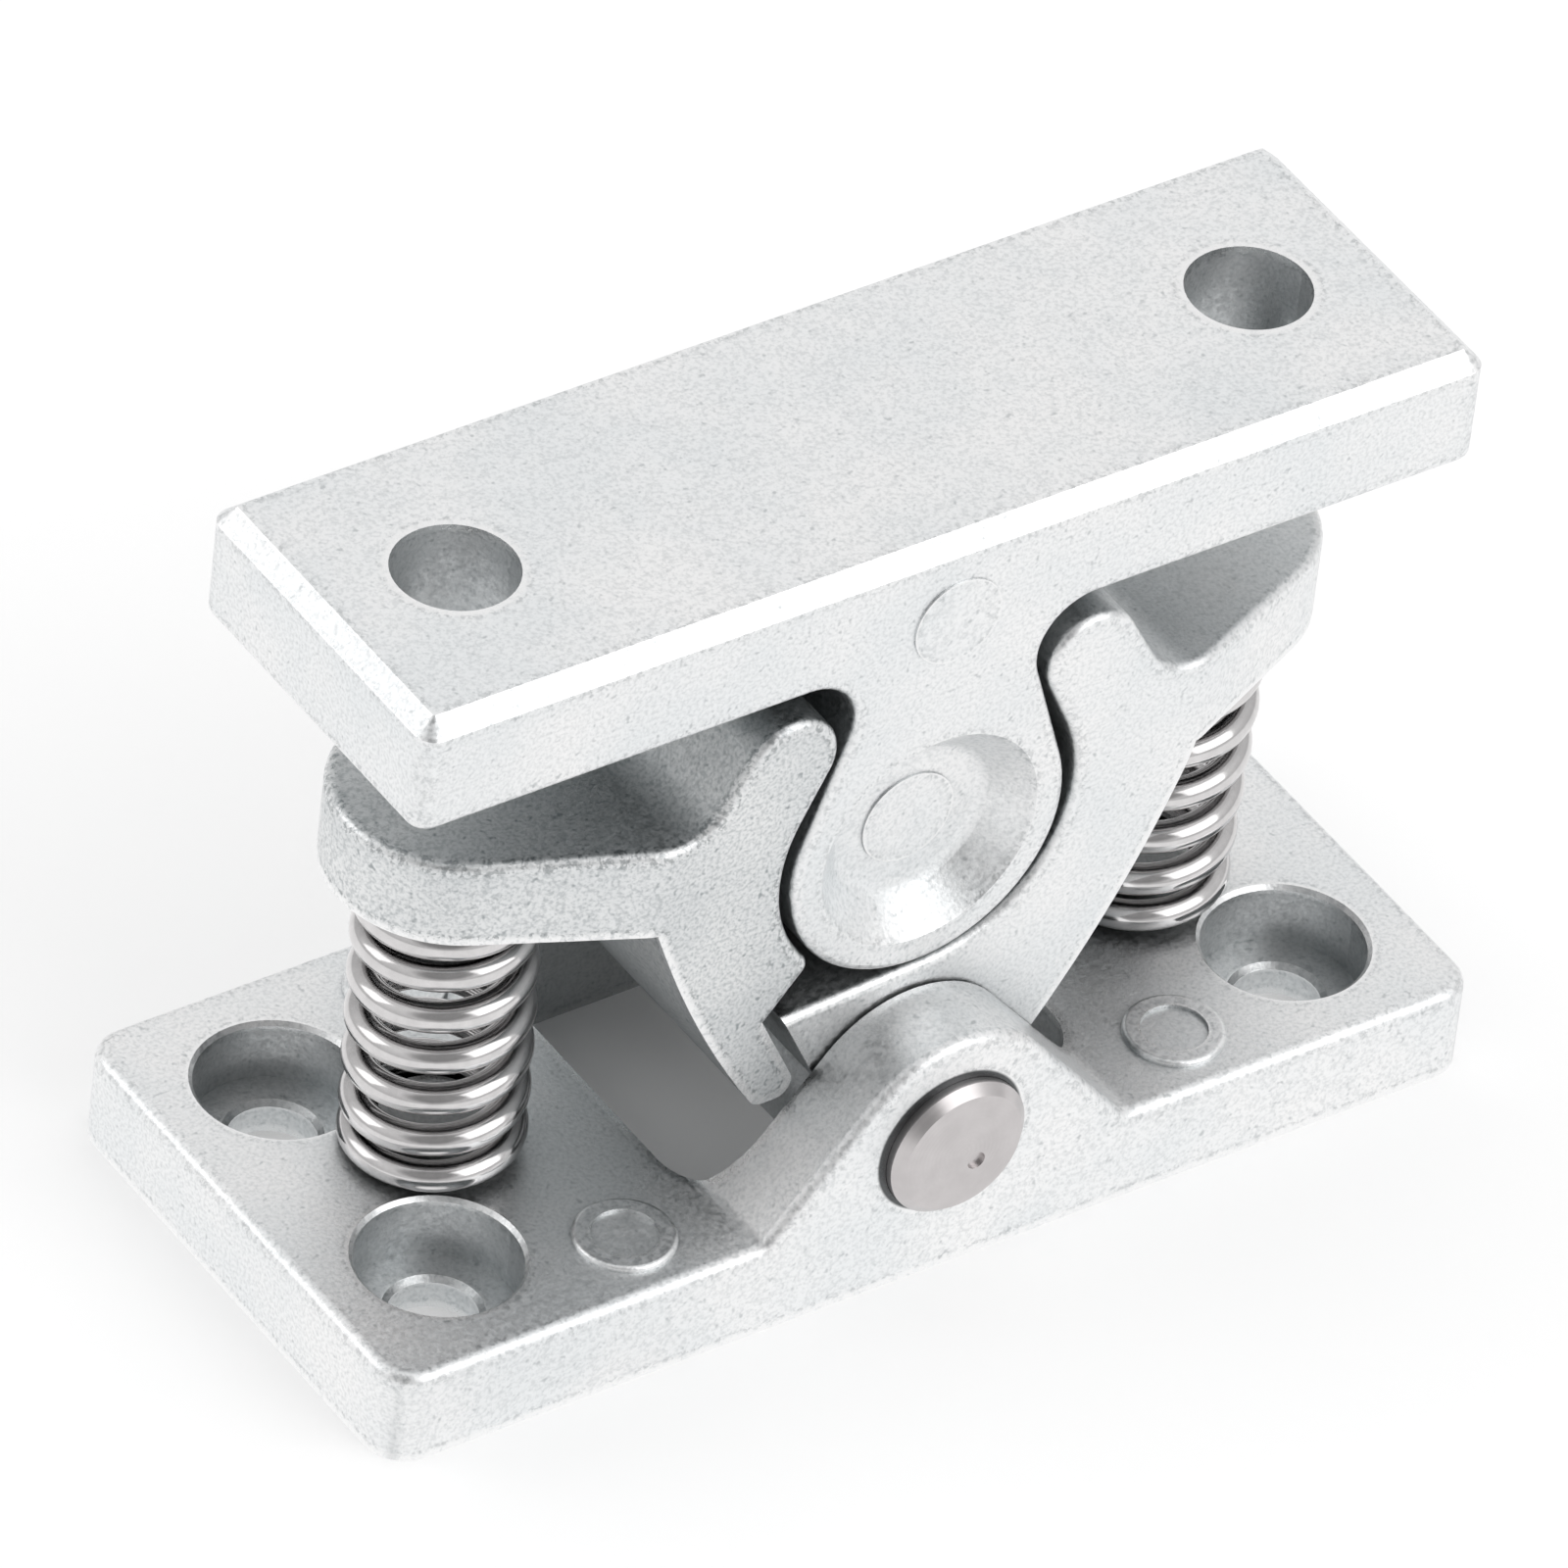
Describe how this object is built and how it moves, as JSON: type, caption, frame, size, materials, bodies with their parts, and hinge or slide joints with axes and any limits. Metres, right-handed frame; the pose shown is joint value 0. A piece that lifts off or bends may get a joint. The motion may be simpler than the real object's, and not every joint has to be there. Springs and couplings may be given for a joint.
{
  "type": "truck door lock",
  "caption": "Spring-loaded door retainer: pivoting jaws on a bolted base plate grip the round knob of a striker plate and let it snap out.",
  "frame": {"origin": "centre of the base plate's mounting face, which is the lowest face of the part", "axes": "+X along the base plate, +Y along the pivot pin, +Z out of the mounting face towards the striker"},
  "size_m": [0.09, 0.043, 0.0599],
  "materials": {
    "zinc_casting": "bright zinc plated die casting, satin",
    "pin_steel": "turned steel, zinc plated",
    "spring_wire": "bright plated spring wire"
  },
  "bodies": {
    "base": {"base_plate": "zinc_casting", "pivot_pin": "pin_steel", "right_spring": "spring_wire", "left_spring": "spring_wire"},
    "right_jaw": {"right_jaw": "zinc_casting"},
    "left_jaw": {"left_jaw": "zinc_casting"},
    "striker": {"striker": "zinc_casting"}
  },
  "joints": [
    {"name": "striker_slide", "type": "slide", "parent": "base", "child": "striker", "axis": [0, 0, 1], "range_m": [0, 0.011]},
    {"name": "right_jaw_open", "type": "hinge", "parent": "base", "child": "right_jaw", "pos_m": [0, 0, 0.0113], "axis": [0, 1, 0], "range_deg": [0, 8], "stiffness_Nm_per_rad": 32, "deforming": ["right_spring"]},
    {"name": "left_jaw_open", "type": "hinge", "parent": "base", "child": "left_jaw", "pos_m": [0, 0, 0.0113], "axis": [0, -1, 0], "range_deg": [0, 8], "stiffness_Nm_per_rad": 32, "deforming": ["left_spring"]}
  ],
  "couplings": [
    {"joint": "right_jaw_open", "follows": "striker_slide", "rad_per_m": 12.217},
    {"joint": "left_jaw_open", "follows": "striker_slide", "rad_per_m": 12.217}
  ]
}
